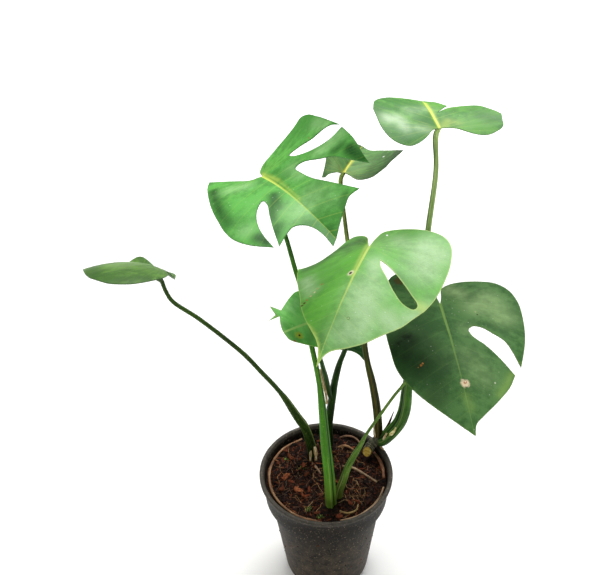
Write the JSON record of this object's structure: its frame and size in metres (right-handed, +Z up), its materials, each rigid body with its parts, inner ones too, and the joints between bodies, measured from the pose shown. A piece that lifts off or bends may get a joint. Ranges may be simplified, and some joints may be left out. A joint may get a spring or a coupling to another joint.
{
  "type": "potted monstera plant",
  "caption": "Monstera houseplant in a round tapered nursery pot: long arching stalks carry heart-shaped and split waxy leaves over bark soil.",
  "frame": {"origin": "middle of the pot's base, on the surface that it stands on", "axes": "+Z up; the viewer of the picture looks along +Y, so +X is to the right in it"},
  "size_m": [0.4489, 0.3457, 0.6104],
  "materials": {
    "pot_plastic": "dusty near-black moulded plastic",
    "bark_soil": "dark bark and peat mix, matt",
    "root": "dry tan root bark",
    "green_stalk": "bright green leaf stalk, satin",
    "dark_stalk": "dark green leaf stalk, satin",
    "brown_stalk": "brownish green stem and stalks, satin",
    "light_leaf": "light green waxy leaf",
    "mid_leaf": "mid green waxy leaf",
    "dark_leaf": "dark green waxy leaf",
    "grey_leaf": "grey-green waxy leaf"
  },
  "bodies": {
    "root": {"pot": "pot_plastic", "soil": "bark_soil", "root_ring": "root", "root_edge": "root", "root_long": "root", "root_flat": "root", "root_arch": "root", "root_tan": "root", "root_loop": "root", "root_side": "root", "stalk_right": "green_stalk", "stalk_upper": "green_stalk", "stalk_left": "dark_stalk", "stalks_front_low": "dark_stalk", "creeping_stem": "brown_stalk", "blade_front": "light_leaf", "blade_right": "dark_leaf", "blade_upper": "mid_leaf", "blade_top": "mid_leaf", "blade_back": "grey_leaf", "blade_left": "mid_leaf", "blade_low": "mid_leaf", "blade_hidden": "dark_leaf"}
  },
  "joints": []
}
